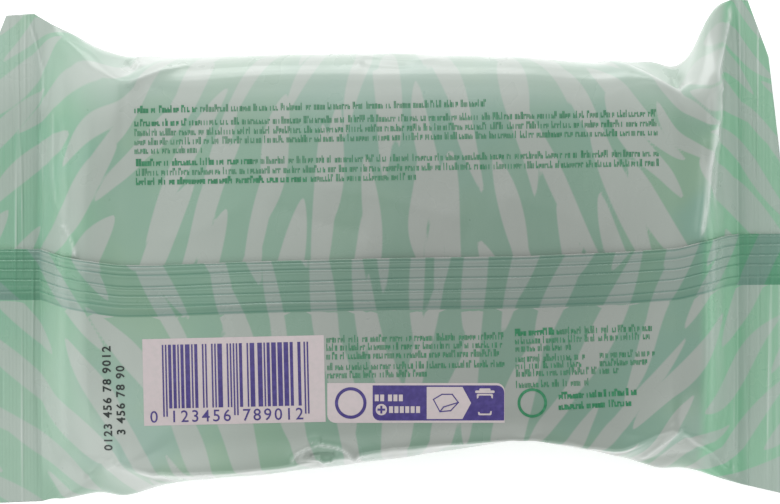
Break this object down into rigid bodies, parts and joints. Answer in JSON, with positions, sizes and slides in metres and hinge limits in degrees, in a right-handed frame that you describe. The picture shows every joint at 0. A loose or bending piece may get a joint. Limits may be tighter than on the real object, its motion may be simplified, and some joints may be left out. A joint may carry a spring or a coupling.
{
  "type": "wet wipes pack",
  "caption": "Sealed film flow pack filled with folded wet wipes, with crimped end seals, a fin seal along the back and a peel-and-reseal label on the front.",
  "frame": {"origin": "centre of the pack's footprint, on the label's outer face, which is what the pack rests on", "axes": "+X along the pack towards the end with the long ear, +Y across it, the way the fin seal is folded, +Z out of its back"},
  "size_m": [0.1598, 0.1006, 0.0232],
  "materials": {
    "printed_film": "soft gloss printed polyethylene film, mint green with pale strokes",
    "label_film": "smooth gloss polypropylene label film, plain pale green white"
  },
  "bodies": {
    "root": {"wipes_pack": "printed_film", "reseal_label": "label_film"}
  },
  "joints": []
}
